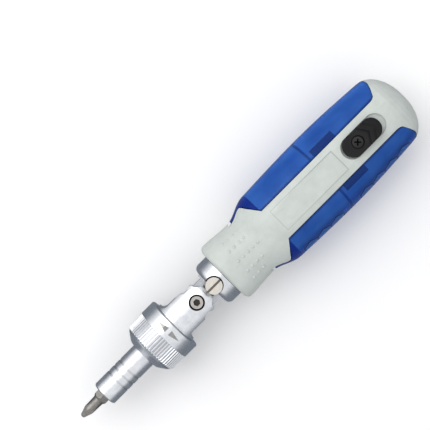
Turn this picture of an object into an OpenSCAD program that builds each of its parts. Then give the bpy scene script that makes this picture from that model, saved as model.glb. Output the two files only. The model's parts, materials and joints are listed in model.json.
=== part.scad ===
// Ratcheting screwdriver with a folding head and two bit-storage doors in its handle.
// Lengths are in millimetres. The tool lies along X with its bit towards +X, +Y is its left
// side and +Z its button side. It stands on the flat of its bottom spine.

/* [Handle] */
// Length of the handle, from the butt to the front of the neck
handle_len = 111; // [109:0.5:114]
// Section radius at the belly
belly_r = 18.3; // [18:0.1:19]
// Distance from the butt to the belly
belly_at = 47; // [42:0.5:52]
// Section radius where the butt dome meets the sides
butt_r = 16.7; // [16.4:0.1:17.4]
// Length of the butt dome
butt_len = 11; // [9:0.5:12]
// Section radius at the shoulder, where the handle starts to narrow
shoulder_r = 17.4; // [17:0.1:17.8]
// Distance from the butt to the shoulder
shoulder_at = 81; // [79:0.5:83]
// Section radius at the waist behind the neck
waist_r = 13.3; // [13:0.1:13.8]
// Distance from the front of the neck back to the waist
waist_back = 16; // [14.5:0.5:17]
// Section radius of the neck grip
neck_r = 14.2; // [13.9:0.1:14.8]
// Rounding of the neck's front edge
neck_round = 2.4; // [1.5:0.1:3]
// Half the extra width of the section over its height
spread = 1; // [0.6:0.1:1.3]
// Height of the flat top spine above the tool axis
spine_top = 17.8; // [17.4:0.1:18]
// Depth of the flat bottom spine below the tool axis
spine_bottom = 17.4; // [17.1:0.1:17.8]
// Width of the spines between the doors
spine_w = 16.3; // [15.5:0.1:17]
// Thickness of the spines
spine_t = 4.2; // [4:0.1:4.5]
// Distance from the butt to the rear wall of the bit bay
bay_rear = 10.2; // [9.5:0.1:10.4]
// Distance from the butt to the front wall of the bit bay
bay_front = 83.6; // [82.5:0.1:84.5]
// Corner rounding of the bit bay
bay_round = 5; // [3:0.5:6]

/* [Spine details] */
// Length of the bare label recess
label_len = 36.5; // [30:0.5:38]
// Width of the label recess
label_w = 10.9; // [9:0.1:12]
// Depth of the label recess
label_deep = 0.4; // [0.2:0.05:0.8]
// Distance from the butt to the rear end of the label recess
label_at = 41.2; // [40.5:0.1:44]
// Radius of a grip dot on the neck
dot_r = 0.8; // [0.6:0.05:1]
// Height of a grip dot
dot_h = 0.45; // [0.3:0.05:0.6]
// Distance between grip dots along the tool
dot_pitch = 2.95; // [2.6:0.05:3.2]
// Angle between rows of grip dots
dot_row_angle = 20; // [16:1:22]
// Distance from the front of the neck to the first grip dot of a row
dot_first = 8.8; // [7:0.1:10]

/* [Doors] */
// Wall of a door
door_wall = 1.8; // [1.5:0.1:2]
// Gap between a door and the frame
seam = 0.3; // [0.2:0.05:0.5]
// Distance from the butt to the rear edge of a door
door_rear = 8.5; // [8:0.1:9.5]
// Distance from the butt to the front shoulder of a door
door_front = 84.7; // [84:0.1:85.4]
// Extra gap in front of a door, for its swing
swing_gap = 0.3; // [0.25:0.05:0.5]
// Thickness of a door's lip at its front edge
lip_t = 0.5; // [0.4:0.05:0.6]
// Length of a door's lip at its front edge
lip_len = 2.2; // [2:0.1:3]
// Corner rounding at the rear of a door
door_rear_round = 11; // [9:0.1:13]
// Rounding of a door's rear corner beside the spine, seen from the top
door_corner_round = 5.5; // [4:0.1:7]
// Distance from a door's rear edge to the start of that rounding
door_corner_back = 6.1; // [5.5:0.1:7]
// Corner rounding at the front of a door
door_front_round = 11.5; // [9:0.1:12]
// Rounding at the root of the hinge tongue
tongue_fillet = 3; // [1.5:0.1:4]
// Height of the hinge tongue
tongue_h = 10.8; // [9.5:0.1:12]
// Reach of the hinge tongue in front of the hinge pin
tongue_reach = 2.3; // [1.8:0.1:2.6]
// Distance from the butt to the hinge pins
hinge_at = 90.5; // [90:0.1:91]
// Distance of a hinge pin from the middle of the tool
hinge_y = 11.6; // [11.4:0.1:11.8]
// Radius of a hinge pin
hinge_pin_r = 1.2; // [1:0.05:1.3]
// Length of a hinge pin
hinge_pin_len = 16; // [15:0.1:16.6]
// Radius of a door's hinge knuckle
knuckle_r = 2.6; // [2.4:0.1:2.7]
// Gap in the middle of the knuckle that holds the door spring
spring_gap = 4.6; // [4.4:0.1:5.2]
// Thickness of the ribs inside a door
rib_t = 1.4; // [1:0.1:1.8]
// Distance from the butt to the middle rib
rib_at = 49.9; // [49.5:0.1:50.3]
// Distance of the ribs' inner edge from the middle of the tool
rib_inner = 7.6; // [7.4:0.1:8]

/* [Stored bits] */
// Width across the flats of a driver bit
bit_af = 6.35; // [6.2:0.05:6.4]
// Length of a stored bit
bit_len = 25; // [24:0.1:25.4]
// Length of a stored bit's hexagon
stored_hex_len = 12; // [10:0.1:13]
// Radius of a bit's neck
bit_neck_r = 2.5; // [2.2:0.05:2.7]
// Distance between stored bits
bit_pitch = 7.85; // [7.7:0.05:7.95]
// Distance from the middle rib to the nearest stored bit
bit_from_rib = 8.9; // [8.6:0.1:9.2]
// Height of a row of stored bits from the tool axis
bit_row_z = 4.9; // [4.8:0.05:5]
// Distance of a stored bit's outer end from the middle of the tool
bit_floor_y = 13.2; // [12.6:0.1:13.4]
// Distance of the sockets' mouths from the middle of the tool
socket_mouth_y = 6.5; // [5.5:0.1:8]
// Clearance round a bit in a hexagon socket
socket_clear = 0.05; // [0.03:0.01:0.1]

/* [Slide latch] */
// Length of the slide button
button_len = 20; // [19:0.1:20.6]
// Width of the slide button
button_w = 9.6; // [9:0.1:9.8]
// Height of the slide button above the spine
button_rise = 2.6; // [2:0.1:3]
// Gap beside the slide button in its recess
button_gap = 0.25; // [0.2:0.05:0.4]
// Distance from the butt to the front end of the button's recess
recess_front = 38.8; // [38:0.1:39.4]
// Depth of the button's recess
recess_deep = 2; // [1.8:0.1:2.3]
// Travel of the button from its rest place forward, to the latched place
latch_forward = 1; // [0.8:0.1:1.2]
// Travel of the button from its rest place back, to the open place
latch_back = 2.6; // [2.2:0.1:2.8]
// Distance from the button's front end to its screw
screw_back = 7.2; // [6.8:0.1:7.6]
// Radius of the button screw's head
screw_head_r = 2.4; // [2.2:0.1:2.6]
// Radius of the button screw's shank
screw_r = 1.1; // [0.9:0.05:1.25]
// Radius of the boss under the button
boss_r = 2.2; // [2:0.05:2.4]
// Thickness of the latch plate
plate_t = 2.4; // [2.2:0.1:2.5]
// Width of the latch plate
plate_w = 12; // [10:0.1:13]
// Length of the latch wings
wing_len = 12.9; // [11:0.1:14]
// Half the width over the latch wings
wing_y = 11.6; // [11.4:0.1:11.8]
// Thickness of the latch wings
wing_t = 1.7; // [1.5:0.05:1.75]
// Gap between a latch finger and the door's rib at rest
finger_gap = 0.4; // [0.35:0.05:0.5]
// Width of a latch finger
finger_w = 2; // [1.6:0.1:2.2]
// Gap round a latch finger in the rib's hole
finger_clear = 0.3; // [0.2:0.05:0.4]

/* [Pivot] */
// Length of the collar in front of the neck
collar_len = 7.5; // [7.2:0.1:8]
// Step down from the fork's outside to the collar
collar_drop = 0.5; // [0.3:0.05:0.8]
// Rounding of the collar's front edge
collar_round = 2.6; // [2.2:0.1:3]
// Distance from the collar's front to the pivot
pivot_gap = 9; // [8.9:0.05:9.3]
// Radius of the stem inside the neck
stem_r = 8.2; // [7.8:0.1:8.6]
// Length of the stem inside the neck
stem_len = 14; // [12.5:0.1:14.4]
// Thickness of the tongue between the ears
tongue_t = 7.5; // [7.2:0.1:7.8]
// Radius of the tongue's end
tongue_r = 6; // [5.8:0.05:6.05]
// Radius of the pivot screw's shank
pivot_r = 2.25; // [2:0.05:2.4]
// Radius of the pivot screw's head
pivot_head_r = 2.75; // [2.6:0.05:3]
// Radius of the counterbore round the screw's head
counterbore_r = 3.5; // [3.2:0.1:3.8]
// Running clearance of pins and bores
running = 0.05; // [0.03:0.01:0.08]
// Clearance of pieces that stay put
snug = 0.02; // [0.01:0.01:0.04]

/* [Head lock] */
// Distance from the pivot back to the lock button
lock_back = 10.5; // [10.45:0.05:10.7]
// Radius of the locking land
land_r = 3.8; // [3.7:0.05:3.9]
// Length of the locking land
land_len = 5.2; // [4.6:0.1:5.6]
// Radius of the plunger's waist
plunger_r = 2.1; // [1.8:0.05:2.2]
// Radius of the lock button
lock_button_r = 2.6; // [2.5:0.05:2.65]
// Radius of the lock button's flange
lock_flange_r = 3.7; // [3.4:0.1:4]
// Thickness of the lock button's flange
lock_flange_t = 1.2; // [1:0.1:1.5]
// Height of the lock button's top above the tool axis at rest
lock_top = 16.1; // [15.5:0.1:16.6]
// Travel of the lock button out of its rest place, to the locked place
lock_out = 1.5; // [1.2:0.1:1.6]
// Travel of the lock button into the collar from its rest place
lock_in = 0.6; // [0.4:0.1:0.7]

/* [Fork head] */
// Width of the fork
yoke_w = 15.5; // [15.3:0.1:15.5]
// Height of the fork's rounded outside over the ratchet housing
yoke_rise = 1.1; // [0.9:0.05:1.3]
// Distance from the pivot to the selector ring
yoke_len = 13.6; // [13.4:0.1:14.4]
// Rounding of the ears' ends
ear_round = 3.5; // [2.5:0.1:4]
// Radius of the plain lower ear
lower_ear_r = 6.3; // [6.2:0.05:6.4]
// Gap between the ears and the tongue, on each side
ear_gap = 0.2; // [0.15:0.01:0.3]
// Gap in front of the tongue's end
crotch_gap = 0.3; // [0.25:0.05:0.5]
// Fillet between the fork and the selector ring
yoke_fillet = 3.5; // [3:0.1:3.6]
// Radius of the ratchet housing
housing_r = 10.4; // [10.3:0.05:10.6]
// Wall of the ratchet housing
housing_wall = 2.2; // [2:0.05:2.3]

/* [Selector ring] */
// Length of the selector ring
ring_len = 15.9; // [15.5:0.1:16.5]
// Wall of the ring under its smooth band
band_wall = 3.1; // [3:0.05:3.3]
// Length of the smooth band
band_len = 7.5; // [7:0.1:8.2]
// Step down from the band to the grip's flutes
flute_drop = 0.3; // [0.2:0.05:0.4]
// Depth of a flute
flute_deep = 0.45; // [0.3:0.05:0.6]
// Number of flutes
flute_count = 56; // [40:1:64]
// Turn of the ring each way from the middle
ring_turn = 20; // [16:1:22]
// Depth of the arrowheads on the band
arrow_deep = 0.3; // [0.15:0.05:0.4]
// Length of an arrowhead round the band
arrow_len = 5.6; // [4:0.1:6.5]
// Width of an arrowhead along the tool
arrow_w = 2.6; // [1.8:0.1:3.2]

/* [Ratchet] */
// Number of teeth on the ratchet gear
tooth_count = 24; // [24:12:36]
// Gap between the gear's teeth and the housing's bore
gear_gap = 0.8; // [0.75:0.05:0.9]
// Depth of a gear tooth
tooth_deep = 0.8; // [0.7:0.05:0.9]
// Length of the gear
gear_len = 7; // [6.6:0.1:7.2]
// Width of a pawl
pawl_w = 3; // [2.6:0.1:3.2]
// Length of a pawl along the tool
pawl_len = 6; // [5.5:0.1:6.2]
// Travel of a pawl each way from the middle
pawl_travel = 0.6; // [0.5:0.05:0.6]
// Radius of the pawl spring's wire
wire_r = 0.3; // [0.2:0.05:0.3]
// Radius of the stop pin
stop_r = 1; // [0.8:0.05:1.1]

/* [Bit holder] */
// Length of the nose cap in front of the ring
nose_len = 3.3; // [3:0.1:3.8]
// Step down from the band to the nose cap
nose_drop = 1.35; // [1.2:0.05:1.7]
// Wall of the nose cap at its front face
nose_wall = 2.2; // [1.5:0.1:3]
// Length of the holder in front of the nose cap
holder_len = 24.8; // [22:0.1:28]
// Radius of the holder
holder_r = 6; // [5.8:0.05:6.2]
// Depth of the holder's grip grooves
groove_deep = 0.25; // [0.15:0.05:0.4]
// Width of a grip groove
groove_w = 1; // [0.6:0.1:1.4]
// Distance from the holder's mouth to the first grip groove
groove_first = 8.7; // [7:0.1:10]
// Distance between grip grooves
groove_pitch = 3.4; // [2.5:0.1:4]
// Length of the driver bit's hexagon
driver_hex_len = 13.6; // [12:0.1:14.5]
// Length of the driver bit in front of the holder
bit_out = 13.9; // [12:0.1:15]
// Radius of the magnet
magnet_r = 2.85; // [2.4:0.05:2.95]
// Thickness of the magnet
magnet_t = 2.9; // [2.4:0.1:3.2]
// Radius of the spindle's rear journal
journal_r = 3; // [2.7:0.05:3.2]
// Wall of the rear bush
bush_wall = 1.4; // [1.2:0.05:1.6]
// Length of the rear bush
bush_len = 4.8; // [4.2:0.1:5]

/* [Hidden] */
$fn = 64;
// Overlap that joins two shapes of one piece
bite = 0.3;
// Length that reaches past any cut
past = 40;

// Handle length that the handle's stations are given for, and their stretch for another length
drawn_len = 111;
stretch = handle_len/drawn_len;
belly_x = belly_at*stretch;
shoulder_x = shoulder_at*stretch;
bay_x = bay_rear*stretch;
bay_end = bay_front*stretch;
door_x = door_rear*stretch;
door_end = door_front*stretch;
hinge_x = hinge_at*stretch;
rib_x = rib_at*stretch;
label_x = label_at*stretch;
label_long = label_len*stretch;
recess_end = recess_front*stretch;
pitch_x = bit_pitch*stretch;
from_rib_x = bit_from_rib*stretch;

// Stations along the tool, from the butt
waist_at = handle_len - waist_back;
neck_top = handle_len - neck_round;
collar_front = handle_len + collar_len;
pivot_at = collar_front + pivot_gap;
ring_rear = pivot_at + yoke_len;
ring_front = ring_rear + ring_len;
nose_front = ring_front + nose_len;
holder_front = nose_front + holder_len;
total_len = holder_front + bit_out;

// Spines and bay
bay_top = spine_top - spine_t;
bay_bottom = spine_bottom - spine_t;
door_half_h = spine_bottom + 0.2;
door_y = spine_w/2 + seam;
tongue_end = hinge_x + tongue_reach;
notch_r = tongue_reach + 2.2;

// Slide latch
recess_w = button_w + 2*button_gap;
recess_floor = spine_top - recess_deep;
button_front = recess_end - latch_forward - 0.1;
button_rear = button_front - button_len;
recess_rear = button_rear - latch_back - 0.1;
screw_at = button_front - screw_back;
plate_top = bay_top - 0.1;
plate_bottom = plate_top - plate_t;
plate_rear = screw_at - boss_r - 2.3;
wing_top = plate_bottom + 0.5;
wing_bottom = wing_top - wing_t;
finger_tip = rib_x - rib_t/2 - finger_gap;
wing_front = finger_tip - 0.8;
finger_y = wing_y - finger_w - 0.2;
screw_seat = recess_floor + 1.8;
latch_spring_r = 1;
latch_spring_wire = 0.25;
latch_spring_z = plate_top - latch_spring_r - latch_spring_wire;

// Door springs
door_spring_wire = 0.3;
door_spring_r = hinge_pin_r + door_spring_wire + 0.25;
door_spring_pitch = 1.05;
door_spring_turns = 3.5;

// Pivot and head lock
yoke_r = housing_r + yoke_rise;
collar_r = yoke_r - collar_drop;
fork_half = tongue_t/2 + ear_gap;
ear_r = yoke_w/2;
ear_end = pivot_at - ear_r;
crotch_at = pivot_at + tongue_r + crotch_gap;
lock_at = pivot_at - lock_back;
land_bore_r = land_r + running;
land_top = tongue_t/2 - 0.15;
land_bottom = land_top - land_len;
land_stop = land_top + lock_out + 0.15;
button_foot = land_stop + lock_in + 3.2;
lock_pocket = button_foot - lock_in - 0.3;
plug_t = 2;
plug_bottom = sqrt(collar_r*collar_r - land_bore_r*land_bore_r) - 0.1;
lock_spring_r = 2.3;
lock_spring_wire = 0.35;
lock_spring_top = land_bottom - lock_in - 0.1;
lock_spring_low = plug_t - plug_bottom;
stem_rear = handle_len - stem_len;
head_seat = yoke_r - 2.9;
thread_end = -(yoke_r - 2.4);

// Ratchet
housing_bore_r = housing_r - housing_wall;
ring_bore_r = housing_r + running;
band_r = ring_bore_r + band_wall;
flute_r = band_r - flute_drop;
nose_r = band_r - nose_drop;
nose_front_r = holder_r + nose_wall;
gear_r = housing_bore_r - gear_gap;
housing_floor = ring_rear + 0.9;
housing_front = ring_front - 0.1;
gear_rear = housing_floor + 1.5;
gear_front = gear_rear + gear_len;
thrust_rear = gear_front + 0.2;
thrust_front = thrust_rear + 1.8;
thrust_r = housing_bore_r - 0.8;
nose_rear = thrust_front + 0.2;
seat_r = 4.4;
seat_half = 3.7;
pawl_rear = gear_rear + (gear_len - pawl_len)/2;
pawl_tip = gear_r + 0.15;
pawl_end = housing_r - 0.25;
pawl_shoulder = pawl_tip + 0.65;
wire_at = pawl_rear + pawl_len/2;
wire_path_r = housing_r - 0.9;
stop_at = nose_rear + 1.6;
stop_end = ring_bore_r + 1;
bush_r = journal_r + running + bush_wall;
bush_rear = housing_floor - bush_len;

// Driver bit
socket_deep = bit_len - bit_out;
bit_rear = total_len - bit_len;
magnet_front = bit_rear - 0.1;
magnet_rear = magnet_front - magnet_t;

// Section radius of the handle at a station along it
function handle_r(s) =
  s < butt_len ? butt_r*sqrt(1 - pow(1 - s/butt_len, 2)) :
  s < belly_x ? butt_r + (belly_r - butt_r)*sin(90*(s - butt_len)/(belly_x - butt_len)) :
  s < shoulder_x ?
    shoulder_r + (belly_r - shoulder_r)*cos(90*(s - belly_x)/(shoulder_x - belly_x)) :
  s < waist_at ?
    waist_r + (shoulder_r - waist_r)*(1 + cos(180*(s - shoulder_x)/(waist_at - shoulder_x)))/2 :
  s < neck_top ?
    waist_r + (neck_r - waist_r)*(1 - cos(180*(s - waist_at)/(neck_top - waist_at)))/2 :
  neck_r - neck_round + sqrt(max(0, pow(neck_round, 2) - pow(s - neck_top, 2)));

handle_stations = concat(
  [for (i = [0:8]) butt_len*(1 - cos(90*i/8))],
  [for (i = [1:7]) butt_len + (belly_x - butt_len)*i/7],
  [for (i = [1:5]) belly_x + (shoulder_x - belly_x)*i/5],
  [for (i = [1:8]) shoulder_x + (waist_at - shoulder_x)*i/8],
  [for (i = [1:4]) waist_at + (neck_top - waist_at)*i/4],
  [for (i = [1:4]) neck_top + neck_round*sin(90*i/4)]);

// Moves the tool so that it stands on its bottom spine, centred along its length
module place() {
  translate([-total_len/2, 0, spine_bottom]) children();
}

// Turns a shape that was made along Z to lie along the tool
module along_x() {
  rotate([0, 90, 0]) children();
}

// Disc or rod along the tool between two stations
module rod_x(r, from, to) {
  translate([from, 0, 0]) along_x() cylinder(r = r, h = to - from);
}

// Upright rod between two heights
module rod_z(r, low, high, at = 0, y = 0) {
  translate([at, y, low]) cylinder(r = r, h = high - low);
}

// Box between two corners
module span(low, high) {
  translate(low) cube(high - low);
}

// Outline in the side view, pushed out sideways from one distance to another
module side_prism(from_y, to_y) {
  translate([0, to_y, 0]) rotate([90, 0, 0]) linear_extrude(to_y - from_y) children();
}

// Hexagon with its corners up and down, in the side view
module hexagon(af, at, z) {
  translate([at, z]) rotate(30) circle(r = af/2/cos(30), $fn = 6);
}

// Round wire wound into a coil that starts at the origin and climbs along Z
module coil(mean_r, wire, pitch, turns) {
  rings = ceil(turns*8);
  sides = 6;
  points = [for (i = [0:rings]) for (j = [0:sides - 1])
    let (a = 360*turns*i/rings, b = 360*j/sides, r = mean_r + wire*cos(b))
    [r*cos(a), r*sin(a), pitch*turns*i/rings + wire*sin(b)]];
  walls = [for (i = [0:rings - 1]) for (j = [0:sides - 1])
    let (k = (j + 1)%sides)
    each [[i*sides + j, (i + 1)*sides + j, (i + 1)*sides + k],
      [i*sides + j, (i + 1)*sides + k, i*sides + k]]];
  start = [for (j = [1:sides - 2]) [0, j, j + 1]];
  last = rings*sides;
  end = [for (j = [1:sides - 2]) [last, last + j + 1, last + j]];
  polyhedron(points, concat(walls, start, end));
}

// Left half of the handle's outer form, drawn in by an inset
module form_half(inset) {
  outline = [for (s = handle_stations) if (handle_r(s) > inset + 0.5) [handle_r(s) - inset, s]];
  ends = concat([[0, outline[0][1]]], outline, [[0, handle_len]]);
  translate([0, spread, 0]) along_x() rotate_extrude(angle = 180) polygon(ends);
}

// Whole outer form of the handle
module handle_form() {
  upper = [for (s = handle_stations) [s, handle_r(s)]];
  lower = [for (i = [len(upper) - 1:-1:1]) [upper[i][0], -upper[i][1]]];
  form_half(0);
  mirror([0, 1, 0]) form_half(0);
  rotate([90, 0, 0]) linear_extrude(2*spread, center = true) polygon(concat(upper, lower));
}

// Side-view outline of a door with its hinge tongue
module door_outline(grow, front_edge) {
  rear = door_rear_round + grow;
  front = door_front_round + grow;
  half = door_half_h + grow;
  tongue = tongue_h/2 + grow;
  fillet = tongue_fillet - grow;
  rear_x = door_x + door_rear_round;
  front_x = front_edge - door_front_round;
  translate([rear_x, -half]) square([front_x - rear_x, 2*half]);
  translate([door_x - grow, rear - half]) square([rear_x - door_x + grow, 2*(half - rear)]);
  translate([front_x - 1, front - half]) square([door_front_round + grow + 1, 2*(half - front)]);
  for (side = [-1, 1]) {
    translate([rear_x, side*(half - rear)]) circle(rear);
    translate([front_x, side*(half - front)]) circle(front);
  }
  translate([front_edge - 1, -tongue]) square([tongue_end - front_edge + 1 + grow, 2*tongue]);
  difference() {
    translate([front_edge - 1, -tongue - fillet]) square([1 + grow + fillet, 2*(tongue + fillet)]);
    for (side = [-1, 1]) translate([front_edge + grow + fillet, side*(tongue + fillet)]) circle(fillet);
  }
}

// Top-view outline of the left door's room, rounded at its rear corner beside the spine
module door_plan(edge, grow) {
  corner_x = door_x + door_corner_back;
  corner_y = door_y + door_corner_round;
  translate([corner_x, edge]) square([handle_len - corner_x, past]);
  translate([corner_x, corner_y]) circle(door_corner_round + grow);
  translate([0, corner_y]) square([handle_len, past]);
}

// Outline of the bit bay in the side view
module bay_outline() {
  translate([bay_x + bay_round, -bay_bottom])
    square([bay_end - bay_x - 2*bay_round, bay_bottom + bay_top]);
  translate([bay_x, bay_round - bay_bottom])
    square([bay_end - bay_x, bay_bottom + bay_top - 2*bay_round]);
  for (x = [bay_x + bay_round, bay_end - bay_round]) {
    for (z = [bay_round - bay_bottom, bay_top - bay_round]) translate([x, z]) circle(bay_round);
  }
}

// Slot with round ends along the tool, seen from the top
module stadium(rear, front, w) {
  translate([rear + w/2, -w/2]) square([front - rear - w, w]);
  for (x = [rear + w/2, front - w/2]) translate([x, 0]) circle(w/2);
}

// Raised dots of the neck grip, in rows round one side
module grip_dots() {
  ball = (dot_r*dot_r + dot_h*dot_h)/(2*dot_h);
  for (row = [-2:2]) {
    for (i = [0:4 - abs(row)]) {
      s = handle_len - dot_first - i*dot_pitch;
      angle = row*dot_row_angle;
      reach = handle_r(s) + dot_h - ball;
      translate([s, spread*sign(row) + reach*sin(angle), reach*cos(angle)]) sphere(ball);
    }
  }
}

// Stem of the pivot base inside the neck, with two flanges and two flats
module stem(grow) {
  flange = stem_r + 1.2;
  intersection() {
    union() {
      rod_x(stem_r + grow, stem_rear - grow, handle_len + bite);
      for (x = [stem_rear + 2, stem_rear + 7]) rod_x(flange + grow, x - grow, x + 2 + grow);
    }
    flat = stem_r - 0.6 + grow;
    span([0, -flat, -past], [pivot_at, flat, past]);
  }
}

module handle_frame() {
  color([0.84, 0.86, 0.84]) place() {
    difference() {
      union() {
        intersection() {
          handle_form();
          span([-1, -past, -spine_bottom], [handle_len + 1, past, spine_top]);
        }
        grip_dots();
        mirror([0, 0, 1]) grip_dots();
      }
      for (side = [0, 1]) mirror([0, side, 0]) intersection() {
        side_prism(spine_w/2, past) door_outline(seam, door_end + swing_gap);
        translate([0, 0, -past]) linear_extrude(2*past) door_plan(spine_w/2, seam);
      }
      side_prism(-past, past) bay_outline();
      for (side = [-1, 1]) {
        rod_z(notch_r, -tongue_h/2 - seam, tongue_h/2 + seam, hinge_x, side*hinge_y);
        rod_z(hinge_pin_r + snug, -past, hinge_pin_len/2 + snug, hinge_x, side*hinge_y);
      }
      for (side = [0, 1]) mirror([0, side, 0]) {
        span([hinge_x - 5.4, hinge_y - 1, -spine_bottom*0.72], [hinge_x - 2, past, -spine_bottom*0.56]);
      }
      stem(snug);
      span([label_x, -label_w/2, spine_top - label_deep], [label_x + label_long, label_w/2, past]);
      rod_z(0.4, spine_top - 0.3, past, label_x + label_long + 1.8);
      translate([0, 0, recess_floor]) linear_extrude(past) stadium(recess_rear, recess_end, recess_w);
      translate([0, 0, bay_top - 1]) linear_extrude(past)
        stadium(screw_at - latch_back - boss_r - 0.2, screw_at + latch_forward + boss_r + 0.2, 2*boss_r + 0.4);
      translate([0, 0, latch_spring_z]) rod_x(latch_spring_r + latch_spring_wire + 0.2, bay_x, bay_x + bay_round);
    }
  }
}

// Left door: curved shell, ribs, hexagon sockets and hinge knuckle
module door() {
  hole_y = finger_y - finger_clear;
  hole_z = wing_bottom - finger_clear;
  hole_h = wing_t + 2*finger_clear;
  difference() {
    union() {
      intersection() {
        difference() {
          form_half(0);
          form_half(door_wall);
        }
        door_room();
      }
      intersection() {
        form_half(door_wall - bite);
        door_room();
        union() {
          span([rib_x - rib_t/2, rib_inner, -past], [rib_x + rib_t/2, past, past]);
          span([first_bit(6) + pitch_x/2 + 0.6, rib_inner + 3, -past],
            [first_bit(6) + pitch_x/2 + 0.6 + rib_t, past, past]);
          side_prism(socket_mouth_y, past)
            for (i = [0:6]) hexagon(pitch_x + 0.1, first_bit(i), bit_row_z);
          translate([door_x + 3.4, past, 0]) rotate([90, 0, 0]) cylinder(r = 2.6, h = past - bit_floor_y);
        }
      }
      intersection() {
        form_half(0);
        union() {
          rod_z(knuckle_r, -tongue_h/2, tongue_h/2, hinge_x, hinge_y);
          span([door_end - 2, hinge_y - 1, -tongue_h/2], [hinge_x, past, tongue_h/2]);
        }
      }
    }
    side_prism(0, bit_floor_y) for (i = [0:6]) hexagon(bit_af + 2*socket_clear, first_bit(i), bit_row_z);
    for (z = [hole_z, -hole_z - hole_h]) {
      span([rib_x - rib_t, hole_y, z], [rib_x + rib_t, hole_y + finger_w + 2*finger_clear, z + hole_h]);
    }
    intersection() {
      form_half(lip_t);
      for (z = [tongue_h/2, -past]) {
        span([door_end - lip_len, 0, z], [handle_len, past, z + past - tongue_h/2]);
      }
    }
    rod_z(hinge_pin_r + running, -past, past, hinge_x, hinge_y);
    rod_z(knuckle_r - 0.15, -spring_gap/2, spring_gap/2, hinge_x, hinge_y);
    translate([door_x + 3.4, bit_floor_y + 1.6, 0]) rotate([90, 0, 0]) cylinder(r = 1.5, h = past);
  }
}

// Room that a door fills, beside the spines
module door_room() {
  intersection() {
    side_prism(door_y, past) door_outline(0, door_end);
    translate([0, 0, -past]) linear_extrude(2*past) door_plan(door_y, 0);
    span([0, 0, -spine_bottom], [handle_len, past, spine_bottom]);
  }
}

// Stations of the stored bits, from the rear
function first_bit(i) = i < 4 ?
  rib_x - from_rib_x - (3 - i)*pitch_x :
  rib_x + from_rib_x + (i - 4)*pitch_x;

module door_left() {
  color([0.12, 0.3, 0.72, 0.8]) place() door();
}

module door_right() {
  color([0.12, 0.3, 0.72, 0.8]) place() rotate([180, 0, 0]) door();
}

// Insert bit along Z: hexagon shank from z = 0, waist, and one of three kinds of tip
module insert_bit(kind, hex_len, waist_r, tip_r) {
  shank_r = bit_af/2/cos(30);
  waist_at_z = hex_len + 2;
  difference() {
    union() {
      intersection() {
        cylinder(r = shank_r, h = hex_len + 1, $fn = 6);
        rotate_extrude() polygon([[0, 0], [shank_r - 0.5, 0], [shank_r, 0.6], [shank_r, hex_len - 0.4],
          [bit_af/2 - 0.4, hex_len + 1], [0, hex_len + 1]]);
      }
      rotate_extrude() polygon([[0, hex_len], [bit_af/2 - 0.5, hex_len], [waist_r, waist_at_z],
        [waist_r*0.92, bit_len - 4], [tip_r, bit_len - 0.4], [tip_r - 0.4, bit_len], [0, bit_len]]);
    }
    if (kind == "cross") {
      for (a = [0:90:270]) rotate([0, 0, a + 45]) translate([0.55, 0, bit_len]) rotate([0, -14, 0])
        rotate([0, 0, -45]) translate([0, 0, -9]) cube([past, past, past]);
    }
    if (kind == "flat") {
      for (side = [-1, 1]) translate([-past/2, side*0.55, bit_len]) rotate([side*9, 0, 0])
        translate([0, side < 0 ? -past : 0, -7]) cube([past, past, past]);
    }
    if (kind == "star") {
      for (a = [0:60:300]) rotate([0, 0, a]) translate([tip_r + 0.15, 0, bit_len - 4]) cylinder(r = 0.55, h = past);
    }
  }
}

// Row of stored bits of the left door, tips towards the middle
module bit_row() {
  kinds = ["flat", "cross", "star", "cross", "flat", "star", "cross"];
  tips = [0.64, 0.4, 0.6, 0.52, 0.8, 0.76, 0.36];
  for (i = [0:6]) {
    translate([first_bit(i), bit_floor_y, bit_row_z]) rotate([90, 0, 0]) rotate([0, 0, 30])
      insert_bit(kinds[i], stored_hex_len, bit_neck_r, bit_neck_r*tips[i]);
  }
}

module stored_bits_left() {
  color([0.45, 0.45, 0.46]) place() bit_row();
}

module stored_bits_right() {
  color([0.45, 0.45, 0.46]) place() rotate([180, 0, 0]) bit_row();
}

module slide_button() {
  low = recess_floor + 0.1;
  high = spine_top + button_rise;
  side = [[button_rear, low], [button_front, low], [button_front, spine_top + 0.7],
    [button_front - 1.2, spine_top + 1.2], [screw_at, spine_top + 1.5], [screw_at - 5, high],
    [button_rear + 4, high - 0.4], [button_rear + 0.8, spine_top + 1], [button_rear, spine_top + 0.4]];
  color([0.06, 0.06, 0.07]) place() difference() {
    union() {
      intersection() {
        translate([0, 0, low]) linear_extrude(past) stadium(button_rear, button_front, button_w);
        side_prism(-past, past) polygon(side);
      }
      rod_z(boss_r, plate_top, low + bite, screw_at);
    }
    rod_z(screw_head_r + 0.5, screw_seat, past, screw_at);
    rod_z(screw_r + snug, 0, past, screw_at);
    for (i = [0:1]) {
      tip = button_rear + 3 + 3.2*i;
      translate([0, 0, high - 0.9]) linear_extrude(past) polygon([[tip, 0], [tip + 3, button_w/2],
        [tip + 4.1, button_w/2], [tip + 1.1, 0], [tip + 4.1, -button_w/2], [tip + 3, -button_w/2]]);
    }
  }
}

module button_screw() {
  head_t = 1.2;
  color([0.1, 0.1, 0.1]) place() difference() {
    union() {
      rod_z(screw_head_r, screw_seat, screw_seat + head_t, screw_at);
      rod_z(screw_r, plate_bottom + 0.2, screw_seat + bite, screw_at);
    }
    for (a = [0, 90]) translate([screw_at, 0, screw_seat + 0.5]) rotate([0, 0, a + 45])
      translate([-1.5, -0.35, 0]) cube([3, 0.7, head_t]);
  }
}

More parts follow.
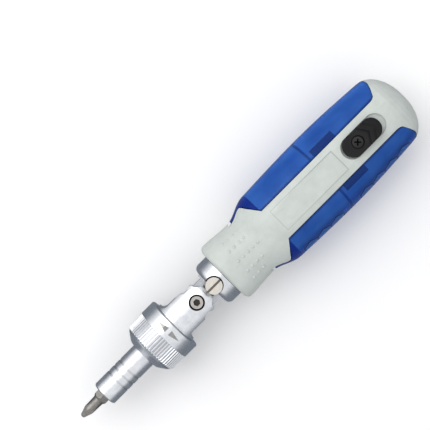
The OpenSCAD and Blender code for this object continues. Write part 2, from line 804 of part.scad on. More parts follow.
module latch_plate() {
  color([0.08, 0.08, 0.09]) place() difference() {
    union() {
      span([plate_rear, -plate_w/2, plate_bottom], [wing_front, plate_w/2, plate_top]);
      span([wing_front - wing_len, -wing_y, wing_bottom], [wing_front, wing_y, wing_top]);
      for (side = [-1, 1]) {
        y = side > 0 ? finger_y : -finger_y - finger_w;
        span([wing_front - 1, y, wing_bottom], [finger_tip, y + finger_w, wing_top]);
      }
    }
    rod_z(screw_r + snug, 0, past, screw_at);
  }
}

module latch_spring() {
  seat = bay_x + 0.3;
  turns = 9;
  color([0.7, 0.7, 0.72]) place() translate([seat + latch_spring_wire, 0, latch_spring_z]) along_x()
    coil(latch_spring_r, latch_spring_wire, (plate_rear - seat - 2*latch_spring_wire - 0.1)/turns, turns);
}

// Door hinge pin of one side
module hinge_pin(side) {
  color([0.75, 0.75, 0.77]) place()
    rod_z(hinge_pin_r, -hinge_pin_len/2, hinge_pin_len/2, hinge_x, side*hinge_y);
}

module hinge_pin_left() {
  hinge_pin(1);
}

module hinge_pin_right() {
  hinge_pin(-1);
}

// Torsion spring round a hinge pin, in the gap of the door's knuckle
module door_spring(side) {
  rise = door_spring_pitch*door_spring_turns;
  color([0.7, 0.7, 0.72]) place() translate([hinge_x, side*hinge_y, -rise/2])
    coil(door_spring_r, door_spring_wire, door_spring_pitch, door_spring_turns);
}

module door_spring_left() {
  door_spring(1);
}

module door_spring_right() {
  door_spring(-1);
}

module pivot_base() {
  root_half = 7.4;
  root_front = pivot_at - ear_r - 0.45;
  color([0.78, 0.79, 0.82]) place() difference() {
    union() {
      stem(0);
      along_x() rotate_extrude() {
        translate([0, handle_len]) square([collar_r, collar_len - collar_round]);
        translate([0, handle_len]) square([collar_r - collar_round, collar_len]);
        translate([collar_r - collar_round, collar_front - collar_round]) circle(collar_round);
      }
      span([collar_front - 1, -root_half, -tongue_t/2], [root_front, root_half, tongue_t/2]);
      span([collar_front - 1, -tongue_r, -tongue_t/2], [pivot_at, tongue_r, tongue_t/2]);
      rod_z(tongue_r, -tongue_t/2, tongue_t/2, pivot_at);
    }
    rod_z(pivot_r + running, -past, past, pivot_at);
    rod_z(land_bore_r, -past, land_stop, lock_at);
    rod_z(plunger_r + running, 0, past, lock_at);
    rod_z(lock_flange_r + 0.45, lock_pocket, past, lock_at);
  }
}

module lock_button() {
  stud_r = plunger_r - 0.7;
  color([0.86, 0.82, 0.74]) place() difference() {
    union() {
      rod_z(lock_button_r, button_foot, lock_top, lock_at);
      rod_z(lock_flange_r, lock_top - lock_flange_t, lock_top, lock_at);
    }
    rod_z(stud_r + snug, 0, button_foot + 3, lock_at);
    span([lock_at - past, -0.5, lock_top - 0.7], [lock_at + past, 0.5, past]);
  }
}

module lock_plunger() {
  stud_r = plunger_r - 0.7;
  color([0.7, 0.7, 0.72]) place() {
    rod_z(land_r, land_bottom, land_top, lock_at);
    rod_z(plunger_r, land_top - bite, button_foot, lock_at);
    rod_z(stud_r, land_top, button_foot + 2.8, lock_at);
  }
}

module lock_spring() {
  turns = 4;
  low = lock_spring_low + lock_spring_wire;
  color([0.7, 0.7, 0.72]) place() translate([lock_at, 0, low])
    coil(lock_spring_r, lock_spring_wire, (lock_spring_top - lock_spring_wire - low)/turns, turns);
}

module lock_plug() {
  color([0.6, 0.6, 0.62]) place() difference() {
    rod_z(land_bore_r - snug, -plug_bottom, plug_t - plug_bottom, lock_at);
    span([lock_at - past, -0.5, -past], [lock_at + past, 0.5, 0.8 - plug_bottom]);
  }
}

module pivot_screw() {
  head_t = 2;
  color([0.55, 0.53, 0.5]) place() difference() {
    union() {
      rod_z(pivot_head_r, head_seat, head_seat + head_t, pivot_at);
      rod_z(pivot_r, -fork_half, head_seat + bite, pivot_at);
      rod_z(pivot_r - 0.35, thread_end, -fork_half + bite, pivot_at);
    }
    translate([pivot_at, 0, head_seat + 0.6]) cylinder(r = 1.6, h = head_t, $fn = 6);
  }
}

// Top-view outline of the fork with the notches that the locking land enters
module yoke_plan() {
  flare = ear_r + yoke_fillet;
  difference() {
    union() {
      translate([pivot_at, -ear_r]) square([yoke_len + bite, 2*ear_r]);
      translate([pivot_at, 0]) circle(ear_r);
      difference() {
        translate([ring_rear - yoke_fillet, -flare]) square([yoke_fillet + bite, 2*flare]);
        for (side = [-1, 1]) translate([ring_rear - yoke_fillet, side*flare]) circle(yoke_fillet);
      }
    }
    for (a = [-90:45:90]) {
      translate([pivot_at - lock_back*cos(a), lock_back*sin(a)]) circle(land_r + 0.15);
    }
  }
}

// Rounded outside of the fork and the ratchet housing, turned about the tool axis
module yoke_turned() {
  along_x() rotate_extrude() {
    translate([0, ear_end]) square([yoke_r - ear_round, ear_round + bite]);
    translate([0, ear_end + ear_round]) square([yoke_r, ring_rear - ear_end - ear_round]);
    translate([yoke_r - ear_round, ear_end + ear_round]) circle(ear_round);
  }
}

module ratchet_yoke() {
  slot_clear = 0.05;
  color([0.78, 0.79, 0.82]) place() difference() {
    union() {
      intersection() {
        yoke_turned();
        translate([0, 0, -past/2]) linear_extrude(past) yoke_plan();
      }
      rod_x(housing_r, ring_rear - 1, housing_front);
    }
    span([0, -past, -fork_half], [crotch_at, past, fork_half]);
    translate([0, 0, -past]) linear_extrude(past - fork_half) difference() {
      translate([0, -past]) square([crotch_at, 2*past]);
      translate([pivot_at, 0]) circle(lower_ear_r);
      translate([pivot_at, -lower_ear_r]) square([past, 2*lower_ear_r]);
    }
    rod_z(pivot_r + snug, 0, past, pivot_at);
    rod_z(counterbore_r, head_seat, past, pivot_at);
    rod_z(pivot_r - 0.35 + snug, thread_end - 0.2, 0, pivot_at);
    rod_x(housing_bore_r, housing_floor, past + ring_front);
    rod_x(bush_r + snug, bush_rear - snug, housing_floor + 1);
    span([pawl_rear - slot_clear, -past, -pawl_w/2 - slot_clear],
      [pawl_rear + pawl_len + slot_clear, past, pawl_w/2 + slot_clear]);
    along_x() rotate_extrude() translate([wire_path_r - wire_r - 0.1, wire_at - wire_r - 0.1])
      square([past, 2*wire_r + 0.2]);
    rod_z(stop_r + snug, -past, 0, stop_at);
  }
}

module rear_bush() {
  color([0.72, 0.52, 0.25]) place() difference() {
    rod_x(bush_r, bush_rear, housing_floor);
    rod_x(journal_r + running, bush_rear - 1, housing_floor + 1);
  }
}

module ratchet_gear() {
  step = 360/tooth_count;
  land = step*0.1;
  outline = [for (i = [0:tooth_count - 1])
    each [[(gear_r - tooth_deep)*cos(i*step), (gear_r - tooth_deep)*sin(i*step)],
      [gear_r*cos((i + 0.5)*step - land), gear_r*sin((i + 0.5)*step - land)],
      [gear_r*cos((i + 0.5)*step + land), gear_r*sin((i + 0.5)*step + land)]]];
  color([0.5, 0.5, 0.52]) place() difference() {
    translate([gear_rear, 0, 0]) along_x() rotate([0, 0, 90]) linear_extrude(gear_len) polygon(outline);
    drive_seat(snug, gear_rear - 1, gear_front + 1);
  }
}

// Round seat with two flats that drives the gear
module drive_seat(grow, from, to) {
  intersection() {
    rod_x(seat_r + grow, from, to);
    span([from, -past, -seat_half - grow], [to, past, seat_half + grow]);
  }
}

// Pawl on the left side, with a groove for the pawl spring
module pawl() {
  tip_half = 0.15;
  flank_half = 0.65;
  end_half = 0.8;
  outline = [[pawl_tip, -tip_half], [pawl_shoulder - 0.05, -flank_half], [pawl_shoulder, -pawl_w/2],
    [pawl_end - 0.65, -pawl_w/2], [pawl_end, -end_half], [pawl_end, end_half],
    [pawl_end - 0.65, pawl_w/2], [pawl_shoulder, pawl_w/2],
    [pawl_shoulder - 0.05, flank_half], [pawl_tip, tip_half]];
  difference() {
    translate([pawl_rear, 0, 0]) rotate([90, 0, 90]) linear_extrude(pawl_len) polygon(outline);
    span([wire_at - wire_r - 0.3, wire_path_r - wire_r - pawl_travel - 0.1, -past],
      [wire_at + wire_r + 0.3, past, past]);
  }
}

module forward_pawl() {
  color([0.5, 0.5, 0.52]) place() pawl();
}

module reverse_pawl() {
  color([0.5, 0.5, 0.52]) place() mirror([0, 1, 0]) pawl();
}

module pawl_spring() {
  color([0.7, 0.7, 0.72]) place() translate([wire_at, 0, 0]) along_x() rotate([0, 0, 15])
    rotate_extrude(angle = 330) translate([wire_path_r, 0]) circle(wire_r, $fn = 24);
}

module stop_pin() {
  color([0.6, 0.6, 0.62]) place() rod_z(stop_r, -stop_end, 0.1 - housing_bore_r, stop_at);
}

// Fluted outline of the ring's grip, seen along the tool
module flutes() {
  step = 360/flute_count;
  low = flute_r - flute_deep;
  polygon([for (i = [0:flute_count - 1])
    each [[low*cos((i - 0.12)*step), low*sin((i - 0.12)*step)],
      [low*cos((i + 0.12)*step), low*sin((i + 0.12)*step)],
      [flute_r*cos((i + 0.35)*step), flute_r*sin((i + 0.35)*step)],
      [flute_r*cos((i + 0.65)*step), flute_r*sin((i + 0.65)*step)]]]);
}

module selector_ring() {
  chamfer = 0.8;
  rear = ring_rear + 0.1;
  band_front = ring_rear + band_len;
  pocket_r = 4;
  pocket_at = pawl_end + pawl_travel + 0.55 - pocket_r;
  stop_half = ring_turn + asin((stop_r + 0.1)/ring_bore_r);
  color([0.8, 0.81, 0.84]) place() difference() {
    union() {
      along_x() rotate_extrude() polygon([[0, rear], [band_r - 0.4, rear], [band_r, rear + 0.4],
        [band_r, band_front - 0.3], [band_r - 0.7, band_front], [0, band_front]]);
      intersection() {
        translate([band_front - 1, 0, 0]) along_x() linear_extrude(ring_front - band_front + 1) flutes();
        along_x() rotate_extrude() polygon([[0, rear], [flute_r + 1, rear], [flute_r + 1, ring_front - chamfer - 1],
          [flute_r - chamfer, ring_front], [0, ring_front]]);
      }
    }
    rod_x(ring_bore_r, 0, past + ring_front);
    for (a = [ring_turn, 180 - ring_turn]) {
      translate([0, pocket_at*cos(a), pocket_at*sin(a)]) rod_x(pocket_r, pawl_rear - 0.3, pawl_rear + pawl_len + 0.3);
    }
    translate([stop_at, 0, 0]) along_x() rotate([0, 0, -stop_half]) rotate_extrude(angle = 2*stop_half)
      translate([ring_bore_r - 0.5, -stop_r - 0.1]) square([stop_end - ring_bore_r + 0.7, 2*stop_r + 0.2]);
    for (side = [-1, 1]) {
      mid = ring_rear + band_len*0.48;
      translate([0, 0, band_r - arrow_deep]) linear_extrude(past)
        polygon([[mid, side*(0.9 + arrow_len)], [mid - arrow_w/2, side*0.9], [mid + arrow_w/2, side*0.9]]);
    }
  }
}

module nose_cap() {
  color([0.78, 0.79, 0.82]) place() difference() {
    along_x() rotate_extrude() polygon([[0, nose_rear], [housing_bore_r - snug, nose_rear],
      [housing_bore_r - snug, ring_front], [nose_r - 0.3, ring_front + 0.1], [nose_r, ring_front + 0.4],
      [nose_r - 0.5, ring_front + 0.9], [nose_front_r + 0.8, nose_front - 0.5],
      [nose_front_r, nose_front], [0, nose_front]]);
    rod_x(holder_r + running, 0, past + nose_front);
    rod_z(stop_r + snug, -past, 0, stop_at);
  }
}

module bit_holder() {
  color([0.8, 0.81, 0.84]) place() difference() {
    union() {
      rod_x(journal_r, bush_rear + 0.2, gear_rear + bite);
      drive_seat(0, gear_rear - 0.2, thrust_rear + bite);
      rod_x(thrust_r, thrust_rear, thrust_front);
      along_x() rotate_extrude() polygon([[0, thrust_rear + 0.5], [holder_r, thrust_rear + 0.5],
        [holder_r, holder_front - 0.5], [holder_r - 0.5, holder_front], [0, holder_front]]);
    }
    for (i = [0:2]) {
      back = groove_first + i*groove_pitch;
      along_x() rotate_extrude() translate([holder_r - groove_deep, holder_front - back - groove_w/2])
        square([holder_r, groove_w]);
    }
    translate([holder_front - socket_deep - 0.1, 0, 0]) along_x()
      cylinder(r = (bit_af/2 + socket_clear)/cos(30), h = past, $fn = 6);
    rod_x(magnet_r + snug, magnet_rear, holder_front - socket_deep);
  }
}

module bit_magnet() {
  color([0.35, 0.35, 0.36]) place() rod_x(magnet_r, magnet_rear, magnet_front);
}

module driver_bit() {
  color([0.42, 0.41, 0.39]) place() translate([bit_rear, 0, 0]) along_x() insert_bit("cross", driver_hex_len, bit_neck_r, bit_neck_r*0.44);
}

handle_frame();
door_left();
door_right();
stored_bits_left();
stored_bits_right();
slide_button();
button_screw();
latch_plate();
latch_spring();
hinge_pin_left();
hinge_pin_right();
door_spring_left();
door_spring_right();
pivot_base();
lock_button();
lock_plunger();
lock_spring();
lock_plug();
pivot_screw();
ratchet_yoke();
rear_bush();
ratchet_gear();
forward_pawl();
reverse_pawl();
pawl_spring();
stop_pin();
selector_ring();
nose_cap();
bit_holder();
bit_magnet();
driver_bit();
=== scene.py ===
import json
import math

import bpy
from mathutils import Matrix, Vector

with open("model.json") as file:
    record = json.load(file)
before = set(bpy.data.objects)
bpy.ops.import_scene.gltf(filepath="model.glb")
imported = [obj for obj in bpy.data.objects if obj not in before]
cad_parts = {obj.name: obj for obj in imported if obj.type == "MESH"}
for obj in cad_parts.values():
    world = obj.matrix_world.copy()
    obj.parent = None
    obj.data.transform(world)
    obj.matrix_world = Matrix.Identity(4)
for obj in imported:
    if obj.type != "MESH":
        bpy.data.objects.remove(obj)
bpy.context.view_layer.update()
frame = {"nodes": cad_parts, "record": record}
nodes = frame["nodes"]


# Places that the frame's pieces give, in metres

def box(name):
    """Lowest and highest corner of a piece, in its own coordinates."""
    places = [vertex.co for vertex in nodes[name].data.vertices]
    low = Vector([min(place[axis] for place in places) for axis in range(3)])
    high = Vector([max(place[axis] for place in places) for axis in range(3)])
    return low, high


bit_half = 0.003175
bit_pitch = 0.00785
rear_bits = 4
front_bits = 3

holder_low, holder_high = box("bit_holder")
lock_low, lock_high = box("lock_button")
pivot_low, pivot_high = box("pivot_screw")
screw_low, screw_high = box("button_screw")
bits_low, bits_high = box("stored_bits_left")

axis_z = (holder_low.z + holder_high.z)/2
neck_front_x = box("handle_frame")[1].x
lock_x = (lock_low.x + lock_high.x)/2
lock_top_z = lock_high.z
pivot_x = (pivot_low.x + pivot_high.x)/2
pivot_head_z = pivot_high.z
button_screw_x = (screw_low.x + screw_high.x)/2
button_screw_z = screw_high.z
rear_bit_x = bits_low.x + bit_half
front_bit_x = bits_high.x - bit_half - (front_bits - 1)*bit_pitch
bit_row_z = (bits_low.z + bits_high.z)/2 - axis_z


# Places and sizes of the marks, in metres

shoulder_x = -0.0192
neck_line = 0.0002
lock_pocket_r = 0.00418
lock_slot_half = 0.00052
counterbore_r = 0.00354
pivot_socket_r = 0.00165
button_cross_r = 0.0017
recess_from = 0.0001
fork_rear_x = 0.0191
fork_front_x = 0.0346
fork_half = 0.0058
band_front_x = 0.0487
arrow_x = 0.0452
arrow_from = 0.0009
arrow_len = 0.0056
arrow_half = 0.0013
flute_front_x = 0.0566
flute_r = 0.01325
flute_shade_from = 0.00022
groove_rear_x = 0.0678
groove_front_x = 0.0788
holder_r = 0.0060
groove_shade_from = 0.00012
label_middle_x = -0.04005
label_half_x = 0.01825
label_half_y = 0.00545
label_line_half = 0.00012
label_over_axis = 0.0165
rib_x = -0.0496
rib_half = 0.0006
latch_rear_x = -0.0645
latch_front_x = -0.0517
latch_half_y = 0.0118
lip_half_y = 0.0091
spine_side_from = 0.0095
socket_in = 0.0035
socket_out = 0.0043
bit_end_in = 0.0017
bit_end_out = 0.0021
rack_half = 0.0062


# Half widths over which a mark fades out, in metres

crisp_fade = 0.00003
line_fade = 0.00008
edge_fade = 0.0001
socket_fade = 0.00015
flute_fade = 0.00018
broad_fade = 0.0003
rack_fade = 0.0014


# Values and masks in a material's node tree

def calc(tree, operation, first, second=0.0):
    """One step of arithmetic on two values, each a socket or a number."""
    made = tree.nodes.new("ShaderNodeMath")
    made.operation = operation
    for value, entry in zip((first, second), made.inputs):
        if isinstance(value, float):
            entry.default_value = value
        else:
            tree.links.new(value, entry)
    return made.outputs[0]


def apart(tree, place):
    """The three coordinates of a place."""
    made = tree.nodes.new("ShaderNodeSeparateXYZ")
    tree.links.new(place, made.inputs["Vector"])
    return made.outputs["X"], made.outputs["Y"], made.outputs["Z"]


def off(tree, value, middle):
    """How far a value lies from a middle, to either side."""
    return calc(tree, "ABSOLUTE", calc(tree, "SUBTRACT", value, middle))


def away(tree, first, first_at, second, second_at):
    """Distance from an axis, in the plane of two coordinates."""
    one = calc(tree, "SUBTRACT", first, first_at)
    two = calc(tree, "SUBTRACT", second, second_at)
    squares = calc(tree, "ADD", calc(tree, "MULTIPLY", one, one), calc(tree, "MULTIPLY", two, two))
    return calc(tree, "SQRT", squares)


def ramp(tree, value, low, high, from_low=0.3, from_high=0.7):
    """A value spread from one range to another."""
    made = tree.nodes.new("ShaderNodeMapRange")
    made.inputs["From Min"].default_value = from_low
    made.inputs["From Max"].default_value = from_high
    made.inputs["To Min"].default_value = low
    made.inputs["To Max"].default_value = high
    tree.links.new(value, made.inputs["Value"])
    return made.outputs["Result"]


def under(tree, value, limit, fade=crisp_fade):
    """1 where a value is under a limit, 0 where it is over it."""
    return ramp(tree, value, 1.0, 0.0, limit - fade, limit + fade)


def between(tree, value, low, high, fade=crisp_fade):
    """1 where a value lies between two limits."""
    return calc(tree, "SUBTRACT", under(tree, value, high, fade), under(tree, value, low, fade))


def over(tree, value, limit):
    """1 where a value is over a limit, with a hard edge."""
    return calc(tree, "GREATER_THAN", value, limit)


def both(tree, first, second):
    """1 where two masks are 1."""
    return calc(tree, "MULTIPLY", first, second)


def noise(tree, place, scale, detail=4.0, roughness=0.55, stretch=None):
    """Noise of a scale in cells per metre, stretched along an axis where asked."""
    if stretch:
        mapping = tree.nodes.new("ShaderNodeMapping")
        mapping.inputs["Scale"].default_value = stretch
        tree.links.new(place, mapping.inputs["Vector"])
        place = mapping.outputs["Vector"]
    made = tree.nodes.new("ShaderNodeTexNoise")
    made.inputs["Scale"].default_value = scale
    made.inputs["Detail"].default_value = detail
    made.inputs["Roughness"].default_value = roughness
    tree.links.new(place, made.inputs["Vector"])
    return made.outputs["Fac"]


def blend(tree, share, first, second):
    """Two colours mixed by a share from 0 to 1, the first a colour or a socket."""
    made = tree.nodes.new("ShaderNodeMix")
    made.data_type = "RGBA"
    entry = next(e for e in made.inputs if e.name == "A" and e.type == "RGBA")
    if isinstance(first, tuple):
        entry.default_value = (*first, 1.0)
    else:
        tree.links.new(first, entry)
    next(e for e in made.inputs if e.name == "B" and e.type == "RGBA").default_value = (*second, 1.0)
    tree.links.new(share, next(e for e in made.inputs if e.name == "Factor" and e.type == "VALUE"))
    return next(e for e in made.outputs if e.name == "Result" and e.type == "RGBA")


def bumps(tree, shader, heights):
    """Bumps laid over one another, each a height value with a strength and a depth in metres."""
    normal = None
    for height, strength, depth in heights:
        made = tree.nodes.new("ShaderNodeBump")
        made.inputs["Strength"].default_value = strength
        made.inputs["Distance"].default_value = depth
        tree.links.new(height, made.inputs["Height"])
        if normal:
            tree.links.new(normal, made.inputs["Normal"])
        normal = made.outputs["Normal"]
    tree.links.new(normal, shader.inputs["Normal"])


# Marks that belong to a place, nearly all painted shade or painted see-through: each gives masks with their
# strength and the colour that they bring

def arrows(tree, x, y, z):
    """The two arrowheads on the selector ring's band, which point away from each other."""
    beside = calc(tree, "ABSOLUTE", y)
    narrowing = ramp(tree, beside, arrow_half, 0.0, arrow_from, arrow_from + arrow_len)
    inside = calc(tree, "SUBTRACT", narrowing, off(tree, x, arrow_x))
    on_top = both(tree, over(tree, beside, arrow_from), over(tree, z, axis_z))
    return both(tree, ramp(tree, inside, 0.0, 1.0, 0.0, line_fade), on_top)


def casting_shade_marks(tree, place):
    """Painted shade in the satin metal pieces' recesses and joints, and the arrowheads' own darker colour.
    """
    x, y, z = apart(tree, place)
    from_axis = away(tree, y, 0.0, z, axis_z)
    # Painted shade: the fork's gap and the yoke's sides at mid-height, the flutes' roots, the holder's
    # grooves, the neck's joint with the collar, the lock's pocket and the counterbore
    fork_gap_shade = both(tree, between(tree, x, fork_rear_x, fork_front_x),
                    under(tree, off(tree, z, axis_z), fork_half, broad_fade))
    root_shade = both(tree, between(tree, x, band_front_x, flute_front_x),
                 under(tree, from_axis, flute_r - flute_shade_from, flute_fade))
    groove_shade = both(tree, between(tree, x, groove_rear_x, groove_front_x),
                   under(tree, from_axis, holder_r - groove_shade_from))
    neck_joint_shade = under(tree, x, neck_front_x + neck_line)
    pocket_shade = both(tree, under(tree, away(tree, x, lock_x, y, 0.0), lock_pocket_r),
                  under(tree, x, fork_rear_x))
    counterbore_shade = under(tree, away(tree, x, pivot_x, y, 0.0), counterbore_r)
    return [(fork_gap_shade, 0.6, (0.34, 0.35, 0.37)), (root_shade, 1.0, (0.52, 0.53, 0.55)),
            (groove_shade, 1.0, (0.58, 0.59, 0.61)), (arrows(tree, x, y, z), 1.0, (0.30, 0.30, 0.29)),
            (neck_joint_shade, 1.0, (0.03, 0.03, 0.03)), (pocket_shade, 1.0, (0.02, 0.02, 0.02)),
            (counterbore_shade, 1.0, (0.012, 0.012, 0.012))]


def label_outline_shade(tree, place):
    """Painted shade along the outline of the bare label recess on the top spine."""
    x, y, z = apart(tree, place)
    past_x = calc(tree, "SUBTRACT", off(tree, x, label_middle_x), label_half_x)
    past_y = calc(tree, "SUBTRACT", calc(tree, "ABSOLUTE", y), label_half_y)
    edge = calc(tree, "ABSOLUTE", calc(tree, "MAXIMUM", past_x, past_y))
    on_top = over(tree, z, axis_z + label_over_axis)
    return [(both(tree, under(tree, edge, label_line_half, line_fade), on_top), 0.75, (0.34, 0.36, 0.34))]


def bit_height(tree, y, z):
    """How far a place lies above or below the bits' row, high on the left door and low on the right."""
    row_z = calc(tree, "ADD", calc(tree, "MULTIPLY", calc(tree, "SIGN", y), bit_row_z), axis_z)
    return off(tree, z, row_z)


def bit_distance(tree, x, y, z):
    """Half the width over the flats of the hexagon through a place, round the nearest stored bit."""
    ahead = over(tree, x, rib_x)
    first_x = calc(tree, "ADD", calc(tree, "MULTIPLY", ahead, front_bit_x - rear_bit_x), rear_bit_x)
    steps = calc(tree, "DIVIDE", calc(tree, "SUBTRACT", x, first_x), bit_pitch)
    off_step = off(tree, steps, calc(tree, "ROUND", steps))
    along = calc(tree, "MULTIPLY", off_step, bit_pitch)
    up = bit_height(tree, y, z)
    slant = calc(tree, "ADD", calc(tree, "MULTIPLY", along, math.cos(math.radians(60.0))),
                 calc(tree, "MULTIPLY", up, math.sin(math.radians(60.0))))
    return calc(tree, "MAXIMUM", along, slant)


def bit_row(tree, x, first_x, count):
    """1 along a row of stored bits."""
    return between(tree, x, first_x - bit_pitch/2, first_x + (count - 0.5)*bit_pitch)


def door_see_through_and_shade(tree, place):
    """Painted see-through and painted shade on the doors: the stored bits' sockets and ends, the cross rib
    and the latch where they show through, a painted shade round the sockets and along the inner lips by the
    spine, and a deeper colour where the doors bend in.
    """
    x, y, z = apart(tree, place)
    from_bit = bit_distance(tree, x, y, z)
    rear_row = bit_row(tree, x, rear_bit_x, rear_bits)
    front_row = bit_row(tree, x, front_bit_x, front_bits)
    rows = calc(tree, "ADD", rear_row, front_row)
    socket_block_shade = under(tree, bit_height(tree, y, z), rack_half, rack_fade)
    insides = both(tree, rows, under(tree, from_bit, socket_in, socket_fade))
    sockets = both(tree, rows, between(tree, from_bit, socket_in, socket_out, socket_fade))
    ends = both(tree, rows, between(tree, from_bit, bit_end_in, bit_end_out, edge_fade))
    rib = between(tree, x, rib_x - rib_half, rib_x + rib_half, edge_fade)
    beside = calc(tree, "ABSOLUTE", y)
    near_spine = over(tree, off(tree, z, axis_z), spine_side_from)
    lip_shade = both(tree, under(tree, beside, lip_half_y, broad_fade), near_spine)
    beside_latch = both(tree, under(tree, beside, latch_half_y, edge_fade), near_spine)
    latch = both(tree, between(tree, x, latch_rear_x, latch_front_x, edge_fade), beside_latch)
    facet = calc(tree, "SUBTRACT", 1.0, under(tree, x, shoulder_x, edge_fade))
    # Painted see-through of the sockets, bit ends, rib and latch, painted shade round the sockets and along
    # the lips, and the front facet's deeper colour
    return [(socket_block_shade, 0.6, (0.010, 0.055, 0.34)), (insides, 0.6, (0.06, 0.25, 0.82)),
            (sockets, 0.9, (0.006, 0.03, 0.20)), (ends, 0.6, (0.006, 0.03, 0.20)),
            (rib, 0.7, (0.01, 0.05, 0.30)), (latch, 0.75, (0.006, 0.028, 0.20)),
            (lip_shade, 0.7, (0.010, 0.045, 0.30)), (facet, 1.0, (0.012, 0.05, 0.38))]


def slot_shade_marks(tree, place):
    """Painted shade in the lock button's slot."""
    y, z = apart(tree, place)[1:]
    slot = both(tree, under(tree, calc(tree, "ABSOLUTE", y), lock_slot_half),
                under(tree, z, lock_top_z - recess_from))
    return [(slot, 1.0, (0.16, 0.14, 0.12))]


def socket_shade_marks(tree, place):
    """Painted shade in the pivot screw's hexagon socket."""
    x, y, z = apart(tree, place)
    socket = both(tree, under(tree, away(tree, x, pivot_x, y, 0.0), pivot_socket_r),
                  under(tree, z, pivot_head_z - recess_from))
    return [(socket, 1.0, (0.05, 0.047, 0.045))]


def cross_shade_marks(tree, place):
    """Painted shade in the button screw's cross."""
    x, y, z = apart(tree, place)
    cross = both(tree, under(tree, away(tree, x, button_screw_x, y, 0.0), button_cross_r),
                 under(tree, z, button_screw_z - recess_from))
    return [(cross, 1.0, (0.004, 0.004, 0.004))]


# Materials

def start(name):
    """A new material with its node tree, shader and a coordinate in metres on the object."""
    made = bpy.data.materials.new(name)
    made.use_nodes = True
    tree = made.node_tree
    shader = next(n for n in tree.nodes if n.type == "BSDF_PRINCIPLED")
    place = tree.nodes.new("ShaderNodeTexCoord").outputs["Object"]
    return made, tree, shader, place


def marked(tree, place, colour, marks):
    """A colour with a piece's marks laid over it."""
    for mask, strength, shade in marks(tree, place):
        colour = blend(tree, calc(tree, "MULTIPLY", mask, strength), colour, shade)
    return colour


def surface(name, dark, light, rough, metal=0.0, mottle=220.0, grain=3000.0, grain_depth=0.00002,
            specular=0.5, marks=None):
    """Moulded, cast or ground surface: two close shades, uneven gloss, a fine grain and thin scuffs."""
    made, tree, shader, place = start(name)
    broad = noise(tree, place, mottle)
    fine = noise(tree, place, grain, detail=2.0)
    scuff = noise(tree, place, 900.0, detail=3.0, stretch=(0.12, 1.0, 1.0))
    colour = blend(tree, ramp(tree, broad, 0.0, 1.0), dark, light)
    worn = tuple(0.8*value for value in dark)
    colour = blend(tree, ramp(tree, scuff, 0.0, 0.35, 0.6, 0.75), colour, worn)
    if marks:
        colour = marked(tree, place, colour, marks)
    tree.links.new(colour, shader.inputs["Base Color"])
    scuffed = ramp(tree, scuff, 0.0, 0.08, 0.55, 0.75)
    gloss = calc(tree, "ADD", ramp(tree, fine, rough - 0.05, rough + 0.05), scuffed)
    tree.links.new(gloss, shader.inputs["Roughness"])
    bumps(tree, shader, [(fine, 0.35, grain_depth), (scuff, 0.1, 0.00001)])
    shader.inputs["Metallic"].default_value = metal
    shader.inputs["Specular IOR Level"].default_value = specular
    return made


def clear_plastic(name, dark, light, marks):
    """Tinted clear plastic with an inner haze."""
    made, tree, shader, place = start(name)
    broad = noise(tree, place, 90.0, detail=2.0)
    fine = noise(tree, place, 900.0, detail=2.0)
    colour = marked(tree, place, blend(tree, ramp(tree, broad, 0.0, 1.0), dark, light), marks)
    tree.links.new(colour, shader.inputs["Base Color"])
    tree.links.new(ramp(tree, fine, 0.10, 0.18), shader.inputs["Roughness"])
    bumps(tree, shader, [(fine, 0.12, 0.00002)])
    shader.inputs["Transmission Weight"].default_value = 0.55
    shader.inputs["Specular IOR Level"].default_value = 0.25
    shader.inputs["IOR"].default_value = 1.25
    return made


looks = {
    "grey_plastic": surface("grey_plastic", (0.49, 0.53, 0.50), (0.55, 0.59, 0.56), rough=0.42,
                            grain=2600.0, marks=label_outline_shade),
    "clear_blue": clear_plastic("clear_blue", (0.030, 0.145, 0.58), (0.055, 0.21, 0.71), door_see_through_and_shade),
    "bit_steel": surface("bit_steel", (0.20, 0.19, 0.18), (0.29, 0.28, 0.26), rough=0.42, metal=1.0,
                         mottle=900.0, grain=4200.0),
    "black_plastic": surface("black_plastic", (0.004, 0.004, 0.005), (0.009, 0.009, 0.010), rough=0.42,
                             grain=2200.0, grain_depth=0.00014, specular=0.22),
    "black_steel": surface("black_steel", (0.03, 0.03, 0.03), (0.05, 0.05, 0.05), rough=0.3, metal=1.0,
                           marks=cross_shade_marks),
    "spring_steel": surface("spring_steel", (0.42, 0.42, 0.43), (0.55, 0.55, 0.56), rough=0.28, metal=1.0),
    "pin_steel": surface("pin_steel", (0.40, 0.38, 0.36), (0.52, 0.50, 0.47), rough=0.3, metal=1.0,
                         mottle=500.0, grain=4000.0, marks=socket_shade_marks),
    "bright_nickel": surface("bright_nickel", (0.66, 0.63, 0.57), (0.76, 0.73, 0.67), rough=0.22, metal=1.0,
                             mottle=500.0, grain=4000.0, marks=slot_shade_marks),
    "satin_metal": surface("satin_metal", (0.66, 0.68, 0.71), (0.78, 0.80, 0.83), rough=0.3, metal=1.0,
                           mottle=420.0, grain=2600.0, grain_depth=0.00006, marks=casting_shade_marks),
    "bronze": surface("bronze", (0.36, 0.22, 0.08), (0.48, 0.31, 0.12), rough=0.4, metal=1.0),
    "magnet": surface("magnet", (0.05, 0.05, 0.052), (0.09, 0.09, 0.092), rough=0.45, metal=0.5),
}
slot_of = {part["node"]: part["material_slot"] for part in frame["record"]["subparts"]}
for name, node in nodes.items():
    node.data.materials.clear()
    node.data.materials.append(looks[slot_of[name]])


# Floor, light and camera

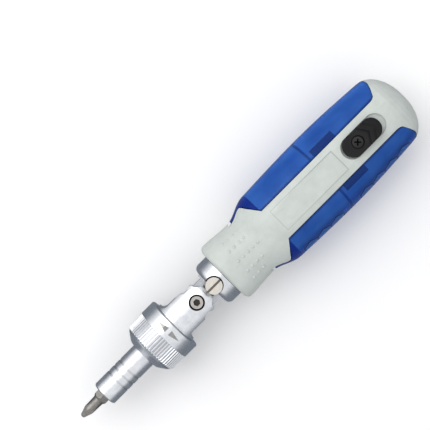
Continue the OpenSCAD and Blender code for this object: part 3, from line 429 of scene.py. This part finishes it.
def floor(width, drop):
    """Plain pale floor, a little under the tool."""
    bpy.ops.mesh.primitive_plane_add(size=width, location=(0.0, 0.0, -drop))
    made = bpy.context.object
    made.name = "floor"
    paint = bpy.data.materials.new("floor_white")
    paint.use_nodes = True
    shader = next(n for n in paint.node_tree.nodes if n.type == "BSDF_PRINCIPLED")
    shader.inputs["Base Color"].default_value = (0.92, 0.92, 0.92, 1.0)
    shader.inputs["Roughness"].default_value = 0.9
    made.data.materials.append(paint)
    made.visible_glossy = False


def area_light(name, place, aim, width, power):
    """Square soft light that points at a place."""
    data = bpy.data.lights.new(name, "AREA")
    data.shape = "SQUARE"
    data.size = width
    data.energy = power
    made = bpy.data.objects.new(name, data)
    bpy.context.scene.collection.objects.link(made)
    made.location = place
    made.rotation_euler = (Vector(aim) - Vector(place)).to_track_quat("-Z", "Y").to_euler()


def studio_sky(horizon, top, top_from, tilt, strength):
    """Sky that is bright overhead and darker towards the horizon, tilted to one side."""
    world = bpy.data.worlds.new("studio")
    bpy.context.scene.world = world
    world.use_nodes = True
    tree = world.node_tree
    sky = next(n for n in tree.nodes if n.type == "BACKGROUND")
    x, y, z = apart(tree, tree.nodes.new("ShaderNodeTexCoord").outputs["Generated"])
    sideways = calc(tree, "SUBTRACT", x, y)
    height = calc(tree, "ADD", z, calc(tree, "MULTIPLY", sideways, tilt))
    share = ramp(tree, height, 0.0, 1.0, 0.0, top_from)
    tree.links.new(blend(tree, share, horizon, top), sky.inputs["Color"])
    sky.inputs["Strength"].default_value = strength


floor(width=6.0, drop=0.0002)
studio_sky(horizon=(0.20, 0.22, 0.25), top=(0.95, 0.95, 0.96), top_from=0.42, tilt=0.14, strength=1.06)
area_light("key", place=(0.18, -0.50, 0.75), aim=(0.0, 0.0, 0.0), width=0.7, power=2.6)
bpy.context.scene.view_settings.view_transform = "Standard"

view_x = -0.0043
view_y = -0.0211
view_turn = math.radians(134.9)
camera_height = 0.56
pixels_per_metre = 2276.0
picture_pixels = 430.0
sensor_width = 36.0

camera_data = bpy.data.cameras.new("camera")
camera_data.sensor_width = sensor_width
camera_data.lens = sensor_width*camera_height*pixels_per_metre/picture_pixels
camera = bpy.data.objects.new("camera", camera_data)
bpy.context.scene.collection.objects.link(camera)
camera.location = (view_x, view_y, axis_z + camera_height)
camera.rotation_euler = (0.0, 0.0, view_turn)
bpy.context.scene.camera = camera
